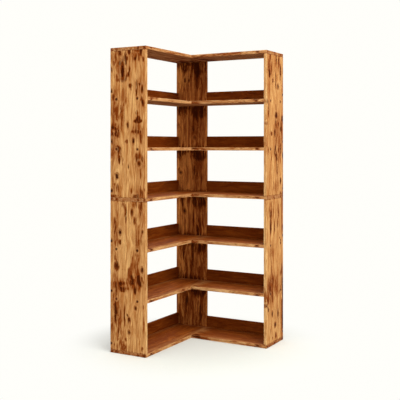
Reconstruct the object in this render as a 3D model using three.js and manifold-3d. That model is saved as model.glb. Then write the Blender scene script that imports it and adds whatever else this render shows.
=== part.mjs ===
// A tall corner shelf unit in solid wood. Two open-backed wings of seven boards meet at a right angle.
// The top, middle and bottom boards run through to the outer faces, and the upright panels stand
// between them in two halves. The four other shelves run between the panels. A low rail stands on the
// back edge of every board but the top one. Lengths are in millimetres and +Z is up.
//
// While it is laid out, the room's corner is at zero: the right wing runs along +X, the left wing
// along -Y, and the floor is at Z zero. The finished unit is then centred over the origin.

import * as THREE from "three";
import { mergeVertices } from "three/addons/utils/BufferGeometryUtils.js";
import Module from "manifold-3d";

const wasm = await Module();
wasm.setup();

// Driving sizes of the whole unit
const unitHeight = 2000;
const wingLength = 860;
const wingDepth = 278;

// Boards, counted from the bottom one, which is board 0
const boardCount = 7;
const middleBoard = 3;
const boardThickness = 21;
const bottomTierClear = 323;

// Upright panels, at the two outer ends and in the corner
const panelThickness = 21;
const cornerPanelSetback = 21;

// Rails along the back edges
const railHeight = 80;
const railThickness = 18;

// Screws, driven through the end panels into the shelves and the rails
const screwLength = 60;
const screwHeadDiameter = 9;
const screwHeadDepth = 3.5;
const screwShankDiameter = 4;
const screwTipLength = 6;
const shelfScrewBackInset = 48;
const shelfScrewFrontInset = 65;

// Tenons on the panels' ends, which stand in the boards above and below them
const panelTenonWidth = 50;
const panelTenonThickness = 10;
const panelTenonDepth = 8;
const panelTenonInset = 35;

// Tenons on the right wing's boards, which enter the front edges of the left wing's boards
const wingTenonWidth = 50;
const wingTenonThickness = 8;
const wingTenonDepth = 20;
const wingTenonInset = 40;

// Tenons on the left wing's shelves, which enter the corner panel
const shelfTenonWidth = 50;
const shelfTenonThickness = 9;
const shelfTenonDepth = 8;
const shelfTenonInset = 35;

// Tenons on the rails, which enter the corner panel's face or its front edge
const railTenonHeight = 40;
const railTenonThickness = 8;
const railTenonDepth = 8;

// Fits
const fitGap = 0.3;
const cutOverrun = 1;

// Roundness of the screws and their holes
const roundSides = 12;

// Finish
const panelColour = 0xbf8350;
const boardColour = 0xc98e5c;
const shadeColour = 0x8a5530;
const screwColour = 0x33241c;
const woodRoughness = 0.55;
const screwRoughness = 0.45;
const screwMetalness = 0.8;

// Heights and widths worked out from the driving sizes
const shelfTierClear = (unitHeight - boardCount * boardThickness - bottomTierClear) / (boardCount - 2);
const topBoard = boardCount - 1;
const cornerPanelWidth = wingDepth - cornerPanelSetback;

function boardBottom(level) {
  if (level === 0) return 0;
  return bottomTierClear + level * boardThickness + (level - 1) * shelfTierClear;
}

function boardTop(level) {
  return boardBottom(level) + boardThickness;
}

function boardMiddle(level) {
  return boardBottom(level) + boardThickness / 2;
}

function railMiddle(level) {
  return boardTop(level) + railHeight / 2;
}

const levels = Array.from({ length: boardCount }, (_, level) => level);
const throughLevels = [0, middleBoard, topBoard];
const innerLevels = levels.filter((level) => !throughLevels.includes(level));
const railLevels = levels.filter((level) => level !== topBoard);

// Each wing turns a place along it, a depth out from its wall and a height into a point of the unit
const leftWing = {
  name: "left",
  point: (along, out, height) => new THREE.Vector3(out, -along, height),
  towardsCorner: new THREE.Vector3(0, 1, 0),
  railStart: panelThickness,
};
const rightWing = {
  name: "right",
  point: (along, out, height) => new THREE.Vector3(along, -out, height),
  towardsCorner: new THREE.Vector3(-1, 0, 0),
  railStart: cornerPanelWidth,
};
const wings = [leftWing, rightWing];
const up = new THREE.Vector3(0, 0, 1);
const down = new THREE.Vector3(0, 0, -1);

function boardName(wing, level) {
  if (level === 0) return `${wing.name}_bottom_board`;
  if (level === middleBoard) return `${wing.name}_middle_board`;
  if (level === topBoard) return `${wing.name}_top_board`;
  return `${wing.name}_shelf_${level}`;
}

function railName(wing, level) {
  return `${wing.name}_rail_${level}`;
}

// A closed mesh with its shared vertices joined and its collapsed triangles dropped
function weld(geometry) {
  const bare = geometry.clone();
  bare.deleteAttribute("normal");
  bare.deleteAttribute("uv");
  const merged = mergeVertices(bare);
  const index = merged.index.array;
  const kept = [];
  for (let i = 0; i < index.length; i += 3) {
    const [a, b, c] = [index[i], index[i + 1], index[i + 2]];
    if (a !== b && b !== c && c !== a) kept.push(a, b, c);
  }
  merged.setIndex(kept);
  return merged;
}

function toManifold(geometry) {
  const welded = weld(geometry);
  return new wasm.Manifold(
    new wasm.Mesh({
      numProp: 3,
      vertProperties: new Float32Array(welded.attributes.position.array),
      triVerts: new Uint32Array(welded.index.array),
    }),
  );
}

function fromManifold(solid) {
  const mesh = solid.getMesh();
  const geometry = new THREE.BufferGeometry();
  geometry.setAttribute("position", new THREE.BufferAttribute(mesh.vertProperties, 3));
  geometry.setIndex(new THREE.BufferAttribute(mesh.triVerts, 1));
  const faceted = geometry.toNonIndexed();
  faceted.computeVertexNormals();
  return faceted;
}

// A block that fills a box given in the unit's own places
function block(box) {
  const size = box.getSize(new THREE.Vector3());
  const centre = box.getCenter(new THREE.Vector3());
  return new THREE.BoxGeometry(size.x, size.y, size.z).translate(centre.x, centre.y, centre.z);
}

// A turned shape is a profile of [radius, distance] pairs about the line from start along direction
function turned(profile, start, direction) {
  const points = profile.map(([radius, distance]) => new THREE.Vector2(radius, distance));
  const latheAxis = new THREE.Vector3(0, 1, 0);
  const geometry = new THREE.LatheGeometry(points, roundSides);
  geometry.applyQuaternion(new THREE.Quaternion().setFromUnitVectors(latheAxis, direction));
  return geometry.translate(start.x, start.y, start.z);
}

// Screws: a countersunk head flush with the panel, a shank and a point
function screwShape(screw) {
  const shank = screwShankDiameter / 2;
  const profile = [
    [0, 0],
    [screwHeadDiameter / 2, 0],
    [shank, screwHeadDepth],
    [shank, screwLength - screwTipLength],
    [0, screwLength],
  ];
  return turned(profile, screw.start, screw.direction);
}

// The hole follows the screw with a gap all round, and opens through the panel's face
function screwHole(screw) {
  const head = screwHeadDiameter / 2 + fitGap;
  const shank = screwShankDiameter / 2 + fitGap;
  const profile = [
    [0, -cutOverrun],
    [head, -cutOverrun],
    [head, 0],
    [shank, screwHeadDepth],
    [shank, screwLength + fitGap],
    [0, screwLength + fitGap],
  ];
  return turned(profile, screw.start, screw.direction);
}

const shelfScrewPlaces = [
  { side: "back", out: shelfScrewBackInset },
  { side: "front", out: wingDepth - shelfScrewFrontInset },
];
const screws = wings.flatMap((wing) => [
  ...innerLevels.flatMap((level) =>
    shelfScrewPlaces.map(({ side, out }) => ({
      name: `${boardName(wing, level)}_${side}_screw`,
      start: wing.point(wingLength, out, boardMiddle(level)),
      direction: wing.towardsCorner,
    })),
  ),
  ...railLevels.map((level) => ({
    name: `${railName(wing, level)}_screw`,
    start: wing.point(wingLength, railThickness / 2, railMiddle(level)),
    direction: wing.towardsCorner,
  })),
]);

// A tenon reaches from its owner's face along direction, and is given by two opposite corners
function tenonShape({ from, to, direction }) {
  const root = from.clone().addScaledVector(direction, -cutOverrun);
  return block(new THREE.Box3().setFromPoints([root, to]));
}

// Its socket has a gap all round and ahead of it, and opens through the face that the tenon enters
function socketShape({ from, to, direction }) {
  const mouth = from.clone().addScaledVector(direction, -cutOverrun);
  const end = to.clone().addScaledVector(direction, fitGap);
  const across = new THREE.Vector3(1, 1, 1).sub(direction.clone().multiply(direction));
  return block(new THREE.Box3().setFromPoints([mouth, end]).expandByVector(across.multiplyScalar(fitGap)));
}

// Tenons come in pairs, one near each edge of a width
function pairOfSpans(width, inset, tenonWidth) {
  return [
    [inset, inset + tenonWidth],
    [width - inset - tenonWidth, width - inset],
  ];
}

function middleSpan(middle, size) {
  return [middle - size / 2, middle + size / 2];
}

// The panels' lower halves stand on the bottom board and their upper halves on the middle one
const halves = [
  { half: "lower", bottom: boardTop(0), top: boardBottom(middleBoard) },
  { half: "upper", bottom: boardTop(middleBoard), top: boardBottom(topBoard) },
];
const panels = halves.flatMap(({ half, bottom, top }) => [
  ...wings.map((wing) => ({
    name: `${wing.name}_end_panel_${half}`,
    wing,
    start: wingLength - panelThickness,
    width: wingDepth,
    colour: panelColour,
    bottom,
    top,
  })),
  {
    name: `corner_panel_${half}`,
    wing: leftWing,
    start: 0,
    width: cornerPanelWidth,
    colour: shadeColour,
    bottom,
    top,
  },
]);

function panelTenons({ name, wing, start, width, bottom, top }) {
  const [near, far] = middleSpan(start + panelThickness / 2, panelTenonThickness);
  return pairOfSpans(width, panelTenonInset, panelTenonWidth).flatMap(([low, high]) => [
    {
      owner: name,
      from: wing.point(near, low, bottom),
      to: wing.point(far, high, bottom - panelTenonDepth),
      direction: down,
    },
    {
      owner: name,
      from: wing.point(near, low, top),
      to: wing.point(far, high, top + panelTenonDepth),
      direction: up,
    },
  ]);
}

function wingTenons(level) {
  const [low, high] = middleSpan(boardMiddle(level), wingTenonThickness);
  return pairOfSpans(wingDepth, wingTenonInset, wingTenonWidth).map(([back, front]) => ({
    owner: boardName(rightWing, level),
    from: rightWing.point(wingDepth, back, low),
    to: rightWing.point(wingDepth - wingTenonDepth, front, high),
    direction: rightWing.towardsCorner,
  }));
}

function shelfTenons(level) {
  const [low, high] = middleSpan(boardMiddle(level), shelfTenonThickness);
  const face = panelThickness + fitGap;
  return pairOfSpans(cornerPanelWidth, shelfTenonInset, shelfTenonWidth).map(([back, front]) => ({
    owner: boardName(leftWing, level),
    from: leftWing.point(face, back, low),
    to: leftWing.point(face - shelfTenonDepth, front, high),
    direction: leftWing.towardsCorner,
  }));
}

function railTenon(wing, level) {
  const [low, high] = middleSpan(railMiddle(level), railTenonHeight);
  const [back, front] = middleSpan(railThickness / 2, railTenonThickness);
  return {
    owner: railName(wing, level),
    from: wing.point(wing.railStart, back, low),
    to: wing.point(wing.railStart - railTenonDepth, front, high),
    direction: wing.towardsCorner,
  };
}

const tenons = [
  ...panels.flatMap(panelTenons),
  ...levels.flatMap(wingTenons),
  ...innerLevels.flatMap(shelfTenons),
  ...wings.flatMap((wing) => railLevels.map((level) => railTenon(wing, level))),
];

// Cuts that reach into other pieces: each has the name of the piece that it leaves alone
const cuts = [
  ...tenons.map((tenon) => ({ owner: tenon.owner, shape: socketShape(tenon) })),
  ...screws.map((screw) => ({ owner: screw.name, shape: screwHole(screw) })),
];
for (const cut of cuts) cut.shape.computeBoundingBox();

function cutsInto(name, box) {
  const reached = cuts.filter((cut) => cut.owner !== name && cut.shape.boundingBox.intersectsBox(box));
  return reached.map((cut) => cut.shape);
}

const unit = new THREE.Group();
unit.name = "corner_shelf_unit";

function woodMaterial(colour) {
  return new THREE.MeshStandardMaterial({ color: colour, roughness: woodRoughness, metalness: 0 });
}

// A straight piece of wood between two opposite corners, with its own tenons added, then the sockets
// and screw holes of its neighbours and any cutouts of its own taken away
function addWood(name, cornerA, cornerB, colour, cutouts = []) {
  const box = new THREE.Box3().setFromPoints([cornerA, cornerB]);
  let solid = toManifold(block(box));
  for (const tenon of tenons.filter(({ owner }) => owner === name)) {
    solid = solid.add(toManifold(tenonShape(tenon)));
  }
  for (const shape of [...cutsInto(name, box), ...cutouts]) {
    solid = solid.subtract(toManifold(shape));
  }
  const centre = box.getCenter(new THREE.Vector3());
  const geometry = fromManifold(solid).translate(-centre.x, -centre.y, -centre.z);
  const mesh = new THREE.Mesh(geometry, woodMaterial(colour));
  mesh.name = name;
  mesh.position.copy(centre);
  unit.add(mesh);
}

for (const { name, wing, start, width, colour, bottom, top } of panels) {
  addWood(
    name,
    wing.point(start, 0, bottom),
    wing.point(start + panelThickness, width, top),
    colour,
  );
}

// The corner panel passes through a notch in each of the left wing's inner shelves
function cornerNotch(level) {
  return block(
    new THREE.Box3().setFromPoints([
      leftWing.point(-cutOverrun, -cutOverrun, boardBottom(level) - cutOverrun),
      leftWing.point(panelThickness + fitGap, cornerPanelWidth + fitGap, boardTop(level) + cutOverrun),
    ]),
  );
}

// The left wing's boards run into the room's corner, and the right wing's boards butt against them
for (const level of levels) {
  const isInner = innerLevels.includes(level);
  const end = isInner ? wingLength - panelThickness : wingLength;
  addWood(
    boardName(rightWing, level),
    rightWing.point(wingDepth, 0, boardBottom(level)),
    rightWing.point(end, wingDepth, boardTop(level)),
    boardColour,
  );
  const notches = isInner ? [cornerNotch(level)] : [];
  addWood(
    boardName(leftWing, level),
    leftWing.point(0, 0, boardBottom(level)),
    leftWing.point(end, wingDepth, boardTop(level)),
    boardColour,
    notches,
  );
}

// Back rails stand on the boards, between the corner panel and the end panels
for (const wing of wings) {
  for (const level of railLevels) {
    addWood(
      railName(wing, level),
      wing.point(wing.railStart, 0, boardTop(level)),
      wing.point(wingLength - panelThickness, railThickness, boardTop(level) + railHeight),
      shadeColour,
    );
  }
}

for (const screw of screws) {
  const material = new THREE.MeshStandardMaterial({
    color: screwColour,
    roughness: screwRoughness,
    metalness: screwMetalness,
  });
  const mesh = new THREE.Mesh(screwShape(screw), material);
  mesh.name = screw.name;
  unit.add(mesh);
}

// The origin is under the middle of the unit's square footprint, on the floor
unit.position.set(-wingLength / 2, wingLength / 2, 0);

export default unit;
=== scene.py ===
# %% [markdown]
# # A corner shelf unit in rustic wood
#
# The unit is made of boards, upright panels and low rails, all cut from knotty solid wood and oiled.
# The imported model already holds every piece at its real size, so it serves as the frame: this lesson
# only gives each piece its eased and worn edges, its screws and the figure of its wood. Lengths are in
# metres, as everywhere in Blender, and a value written in millimetres is multiplied by `mm`.

# %% Load the frame
import itertools
import math

import bpy
import numpy as np
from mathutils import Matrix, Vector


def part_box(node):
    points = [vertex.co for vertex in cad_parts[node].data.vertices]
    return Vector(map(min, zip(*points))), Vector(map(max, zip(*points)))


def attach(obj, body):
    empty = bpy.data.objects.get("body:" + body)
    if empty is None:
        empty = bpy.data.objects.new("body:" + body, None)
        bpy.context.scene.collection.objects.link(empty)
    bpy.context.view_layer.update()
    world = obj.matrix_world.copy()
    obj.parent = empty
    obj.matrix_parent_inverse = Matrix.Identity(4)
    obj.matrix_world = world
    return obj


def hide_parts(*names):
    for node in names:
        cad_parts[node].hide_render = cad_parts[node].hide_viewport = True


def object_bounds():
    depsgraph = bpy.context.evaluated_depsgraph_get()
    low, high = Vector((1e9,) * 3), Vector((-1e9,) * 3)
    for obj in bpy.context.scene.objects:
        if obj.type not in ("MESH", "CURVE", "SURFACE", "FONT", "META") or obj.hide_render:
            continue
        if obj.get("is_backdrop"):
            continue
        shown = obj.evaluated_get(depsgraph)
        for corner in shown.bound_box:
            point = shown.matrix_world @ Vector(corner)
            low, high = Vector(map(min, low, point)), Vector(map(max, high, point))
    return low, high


mm = 0.001
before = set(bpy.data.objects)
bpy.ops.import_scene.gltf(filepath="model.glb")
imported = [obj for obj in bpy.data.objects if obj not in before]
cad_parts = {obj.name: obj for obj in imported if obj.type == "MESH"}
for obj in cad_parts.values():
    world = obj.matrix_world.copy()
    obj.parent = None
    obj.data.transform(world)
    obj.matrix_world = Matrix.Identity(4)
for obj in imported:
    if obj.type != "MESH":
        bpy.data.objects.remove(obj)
cad_low, cad_high = (np.array(corner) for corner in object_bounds())
print(f"frame: {len(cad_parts)} nodes, {np.round(cad_high - cad_low, 3)} m")

# %% [markdown]
# ## Places on a wing
#
# Both wings are built alike, only turned. A joiner would measure them in the same way: how far out
# from the wall, how far along the wing from the room's corner, and how high above the floor. All
# pieces are therefore made in these wing places (out, along, height) and turned into the frame's axes
# at the end. That way one function serves both wings.

# %% Wing places
OUT, ALONG, HEIGHT = 0, 1, 2
wall_x, wall_y = cad_low[0], cad_high[1]


def to_world(wing, places):
    """Turns wing places into the frame's axes. Left: x = wall + out, y = wall - along.
    Right: x = wall + along, y = wall - out. Height is z in both."""
    out, along, height = places.T
    if wing == "left":
        return np.column_stack([wall_x + out, wall_y - along, height])
    return np.column_stack([wall_x + along, wall_y - out, height])


def wing_box(wing, node):
    """Lowest and highest wing place of a frame node's box, by the same formula read backwards."""
    low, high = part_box(node)
    from_side = np.array([low[0], high[0]]) - wall_x
    from_back = wall_y - np.array([high[1], low[1]])
    out, along = (from_side, from_back) if wing == "left" else (from_back, from_side)
    return np.column_stack([out, along, [low[2], high[2]]])


board_words = ("bottom_board", "shelf_1", "shelf_2", "middle_board", "shelf_4", "shelf_5", "top_board")
board_top = {word: wing_box("left", f"left_{word}")[1][HEIGHT] for word in board_words}
board_thickness = board_top["bottom_board"]
wing_depth, wing_length = wing_box("left", "left_top_board")[1][:2]
corner_width, panel_thickness = wing_box("left", "corner_panel_lower")[1][:2]
rail_thickness = wing_box("left", "left_rail_0")[1][OUT]
print(f"wing: depth {wing_depth:.3f}, length {wing_length:.3f}, board {board_thickness:.3f}")

# %% [markdown]
# ## A board's surface
#
# A sawn board is a box whose edges were eased with sandpaper and then worn by use. A Bevel modifier
# on a cube would round every edge alike, and it would leave no points on the broad faces to carry the
# knots. So each of the six faces is a grid here: two sets of lines cross, closer near the edges and
# wherever a detail sits. Points that two faces share are merged, which closes the skin.

# %% Grid lines and the six faces
ease_most, ease_least = 2.6 * mm, 0.7 * mm
ease_degrees = [15, 30, 45]


def ramp(value, low, high):
    """0 below low, 1 above high, a straight line between."""
    return np.clip((value - low) / (high - low), 0, 1)


def grid_lines(low, high, spacing, details=()):
    """Even lines from low to high, lines in each eased edge at its radius times 1 - tan(angle), and
    the lines that details ask for."""
    inside = np.linspace(low + ease_most, high - ease_most, max(2, round((high - low) / spacing)))
    eased = ease_most * (1 - np.tan(np.radians(ease_degrees)))
    details = np.asarray(details, float).ravel()
    details = details[(details > low + ease_most) & (details < high - ease_most)]
    return np.unique(np.round(np.concatenate([low + eased, inside, high - eased, details]), 6))


def closed_box(lines):
    """Six flat grids on three sets of lines, with their shared points merged. On each face two
    places vary and the third stays at its lowest or highest line."""
    points, quads, count = [], [], 0
    for fixed in range(3):
        first, second = (fixed + 1) % 3, (fixed + 2) % 3
        for side in (0, -1):
            face = np.empty((len(lines[first]), len(lines[second]), 3))
            face[..., fixed] = lines[fixed][side]
            face[..., first] = lines[first][:, None]
            face[..., second] = lines[second][None, :]
            index = count + np.arange(face[..., 0].size).reshape(face.shape[:2])
            ring = np.stack([index[:-1, :-1], index[1:, :-1], index[1:, 1:], index[:-1, 1:]], axis=-1)
            quads.append(ring.reshape(-1, 4)[:, :: 1 if side else -1])
            points.append(face.reshape(-1, 3))
            count += index.size
    points, quads = np.concatenate(points), np.concatenate(quads)
    _, first_use, merged = np.unique(np.round(points, 6), axis=0, return_index=True, return_inverse=True)
    return points[first_use], merged.ravel()[quads]


cube_points, cube_quads = closed_box([grid_lines(0, 100 * mm, 14 * mm)] * 3)
print("a cube of 100 mm:", len(cube_points), "points,", len(cube_quads), "faces")

# %% [markdown]
# ## Eased and worn edges
#
# Handling wears some stretches of an edge more than others. The rounding radius is therefore a
# function of the place: two waves of different length are multiplied, so that only here and there
# both are high. The rounding itself pulls each point onto a ball around the box's core.

# %% Ease the edges
slow_wave, slow_shift = (7, 19, 13), 2.1
quick_wave, quick_shift = (29, 53, -41), 3.7


def worn_radius(places, number):
    """Least radius plus the product of two sine waves, squared, times the spare radius. A wave's
    three numbers are its turns per metre in radians, and the shift makes each piece its own."""
    slow = 0.5 + 0.5 * np.sin(places @ slow_wave + slow_shift * number)
    quick = 0.5 + 0.5 * np.sin(places @ quick_wave + quick_shift * number)
    return ease_least + (ease_most - ease_least) * (slow * quick) ** 2


def eased(places, low, high, radius):
    """Nearest point of the box that is smaller by the radius all round, plus the radius times the
    direction from there to the place. On a flat face this changes nothing."""
    radius = radius[:, None]
    core = np.clip(places, low + radius, high - radius)
    arm = places - core
    return core + arm * radius / np.maximum(np.linalg.norm(arm, axis=1, keepdims=True), 1e-9)


print("an edge's radius in three places, mm:", np.round(worn_radius(np.eye(3), 1) / mm, 2))

# %% [markdown]
# ## Screw holes
#
# The outer ends of the shelves and rails are held by countersunk screws through the end panels. Each
# sits in a small round hole. A Boolean cut would tangle the grid, so the grid is bent instead: square
# rings of lines about the hole are drawn in to circles, and the rings inside the hole are lowered.

# %% Screws and their holes
screw_nodes = {
    wing: sorted(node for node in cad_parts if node.startswith(wing) and node.endswith("_screw"))
    for wing in ("left", "right")
}
screw_low, screw_high = wing_box("left", "left_rail_0_screw")
screw_radius = (screw_high[OUT] - screw_low[OUT]) / 2
screw_length = screw_high[ALONG] - screw_low[ALONG]
hair = 0.05 * mm
hole_radius, hole_depth = screw_radius + 0.3 * mm, 2.6 * mm
lip_width, lip_depth = 0.5 * mm, 0.5 * mm
bent_reach = 9 * mm
ring_steps = np.array([
    0, 1.7 * mm, 3.3 * mm, hole_radius - 2 * hair, hole_radius, hole_radius + lip_width, bent_reach,
])
hole_lines = np.concatenate([-ring_steps[::-1], ring_steps])


def screw_middles(wing, low, high):
    """Out and height of every screw whose middle lies between two heights."""
    middles = np.array([wing_box(wing, node).mean(axis=0)[[OUT, HEIGHT]] for node in screw_nodes[wing]])
    return middles[(middles[:, 1] > low) & (middles[:, 1] < high)]


def with_holes(places, middles, face):
    """Near each middle, a place at square distance s moves to round distance s, less and less so up
    to the reach. Inside the hole it then sinks to the hole's depth, over a slanted lip."""
    places = places.copy()
    on_face = np.abs(places[:, ALONG] - face) < 1e-6
    for out, height in middles:
        offset = places[:, [OUT, HEIGHT]] - (out, height)
        square = np.abs(offset).max(axis=1)
        near = on_face & (square < bent_reach)
        round_share = 1 - ramp(square, hole_radius + lip_width, bent_reach)
        scale = square / np.maximum(np.linalg.norm(offset, axis=1), 1e-9)
        shift = offset * (round_share * (scale - 1))[:, None]
        places[near, OUT] += shift[near, 0]
        places[near, HEIGHT] += shift[near, 1]
        lip = (1 - ramp(square, hole_radius, hole_radius + lip_width)) * lip_depth
        sunk = np.where(square < hole_radius - hair, hole_depth, lip)
        places[near, ALONG] -= sunk[near]
    return places


print(f"screw: radius {screw_radius:.4f}, length {screw_length:.3f}")

# %% [markdown]
# ## Knots and stains, as data on the mesh
#
# A knot is where a branch left the trunk: dark end wood in the middle, and fibres that flow round it.
# A purely random texture would put knots anywhere, even across a screw, so each main knot has its own
# place here. For every point the mesh stores how far it is from its nearest knot, measured in that
# knot's own half sizes, and the shader draws the knot from that. The grain coordinate is bent sideways
# near a knot, and this alone makes the fibres part and close again around it. A stain needs less: the
# mesh only stores how strong it is at each point.

# %% Knot and stain fields
knot_far = 4.0
knot_fade = (2.0, 3.4)
grain_bend_share, grain_bend_width = 0.72, 2.2
stain_spread, stain_most = 1.3, 1.4


def knot_field(grain, knots):
    """Offset from the nearest knot over its half sizes, the knot's darkness, and how far the grain
    moves aside: the offset across times a bell curve of the distance, summed over the knots. Away from
    a knot the offset turns smoothly into one far vector, so that two neighbours agree halfway."""
    if not len(knots):
        return np.tile([0, 0, knot_far], (len(grain), 1)), np.zeros(len(grain)), np.zeros(len(grain))
    offset = (grain[:, None, :] - knots[None, :, 0:3]) / knots[None, :, 3:6]
    distance = np.linalg.norm(offset, axis=2)
    nearest = distance.argmin(axis=1)
    rows = np.arange(len(grain))
    far = ramp(distance[rows, nearest], *knot_fade)[:, None]
    near_vector = offset[rows, nearest]
    near_vector[:, 2] = np.abs(near_vector[:, 2])
    vector = near_vector * (1 - far) + np.array([0, 0, knot_far]) * far
    bell = np.exp(-((distance / grain_bend_width) ** 2)) * (grain[:, None, 0] - knots[None, :, 0])
    return vector, knots[nearest, 6], -grain_bend_share * bell.sum(axis=1)


def stain_field(grain, rows):
    """Sum over rows of (across, along, two half sizes, strength) in millimetres, of the strength
    times exp(-r to the power 4), with r the offset over the half sizes times the spread. That curve
    is flat in the middle and falls quickly at the stain's rim."""
    if not len(rows):
        return np.zeros(len(grain))
    rows = np.array(rows, float) * (mm, mm, mm, mm, 1)
    offset = (grain[:, None, :2] - rows[None, :, 0:2]) / (stain_spread * rows[None, :, 2:4])
    total = (np.exp(-((offset**2).sum(axis=2) ** 2)) * rows[:, 4]).sum(axis=1)
    return np.clip(total, 0, stain_most)


stain_line = np.array([[0, 0], [30, 0], [60, 0]]) * mm
print("a stain of 30 mm, at 0, 30 and 60 mm:", np.round(stain_field(stain_line, [(0, 0, 30, 30, 1)]), 2))

# %% [markdown]
# ## Making one piece of wood
#
# The parts above come together here. The grain runs along a board, up a panel and along a rail, so
# each kind lists which wing place is across the grain, which is along it and which goes through the
# thickness. Five vector attributes travel with the mesh: `grain` for the wood texture, `lay` for the
# glued staves and the edges, `knot` for the knots, `mark` for stains, veils and painted shade, and
# `faces`, which tells end grain, the broad faces and a board's underside from the rest. Painted shade
# can belong to one face alone, the corner panel's inner face and a board's underside, and it fades
# out within a thin skin.

# %% From a mesh to a piece


def linked(name, data):
    """A new object of the scene, with a mesh, a lamp or a camera as its data."""
    thing = bpy.data.objects.new(name, data)
    bpy.context.scene.collection.objects.link(thing)
    return thing


def stand_in(mesh, node):
    """Makes a piece from a mesh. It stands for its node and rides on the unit."""
    mesh.shade_smooth()
    piece = linked(mesh.name, mesh)
    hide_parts(node)
    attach(piece, "root")
    return piece


def wood_mesh(name, points, quads, attributes):
    """A mesh whose faces are turned outwards: a closed skin whose signed volume, the sum of each
    triangle's corner products over six, is negative gets its faces reversed."""
    a, b, c, d = (points[quads[:, i]] for i in range(4))
    if (np.cross(a, b) * c).sum() + (np.cross(a, c) * d).sum() < 0:
        quads = quads[:, ::-1]
    mesh = bpy.data.meshes.new(name)
    mesh.from_pydata(points.tolist(), [], quads.tolist())
    for label, values in attributes.items():
        layer = mesh.attributes.new(label, "FLOAT_VECTOR", "POINT")
        layer.data.foreach_set("vector", np.ascontiguousarray(values, np.float32).ravel())
    return mesh


print("nodes that wait for their piece:", len(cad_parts))

# %% The plank builder
grain_order = {
    "panel": (OUT, HEIGHT, ALONG),
    "board": (OUT, ALONG, HEIGHT),
    "rail": (HEIGHT, ALONG, OUT),
}
wood_step = np.array([0.61, 2.37, 0.43])
end_depth, skin_depth = 4 * mm, 1.5 * mm
pieces, slot_of = {}, {}


def add_plank(
    node, wing, kind, low, high, spacing, knots=(), stains=(), veils=(), painted_shade_rows=(),
    middles=(), details=((), (), ()), notch=None, slot=None,
):
    """One piece of wood between two wing places, dressed with its attributes, in place of its node.
    Knots are rows in metres. Stains, veils and the painted shade of one face are rows in millimetres.
    Middles are those of screws, details are extra grid lines, and a notch moves the finished places."""
    number = len(pieces) + 1
    low, high = np.array(low, float), np.array(high, float)
    across, along_grain, through = grain_order[kind]
    wanted = [list(lines) for lines in details]
    for out, height in middles:
        wanted[OUT].extend(out + hole_lines)
        wanted[HEIGHT].extend(height + hole_lines)
    lines = [grid_lines(low[axis], high[axis], spacing[axis], wanted[axis]) for axis in range(3)]
    flat, quads = closed_box(lines)
    places = eased(flat, low, high, worn_radius(flat, number))
    if len(middles):
        places = with_holes(places, middles, high[ALONG])
    if notch is not None:
        places = notch(places)

    grain = places[:, [across, along_grain, through]]
    knot, darkness, bend = knot_field(grain, knots)
    from_faces = np.minimum(flat - low, high - flat)
    edge = np.sort(from_faces, axis=1)[:, 1]
    # Painted shade rows darken one face only: a panel's inner face, a board's underside. The stain value
    # below is the stains plus that painted shade.
    inner_side = high[through] if kind == "panel" else low[through]
    inner = 1 - ramp(np.abs(flat[:, through] - inner_side), 0, skin_depth)
    stain = np.clip(stain_field(grain, stains) + inner * stain_field(grain, painted_shade_rows), 0, stain_most)
    faces = [
        1 - ramp(from_faces[:, along_grain], 0, end_depth),
        1 - ramp(from_faces[:, through], 0, skin_depth),
        inner * (kind == "board"),
    ]
    fields = {
        "grain": grain + wood_step * number + np.outer(bend, [1, 0, 0]),
        "lay": np.column_stack([grain[:, 0], np.full(len(grain), number), edge]),
        "knot": knot,
        "mark": np.column_stack([stain, stain_field(grain, veils), darkness]),
        "faces": np.column_stack(faces),
    }
    slot_of[node] = slot or f"{kind}_wood"
    mesh = wood_mesh(f"{node}_wood", to_world(wing, places), quads, fields)
    pieces[node] = stand_in(mesh, node)


print("kinds of wooden piece:", ", ".join(grain_order))
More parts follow.
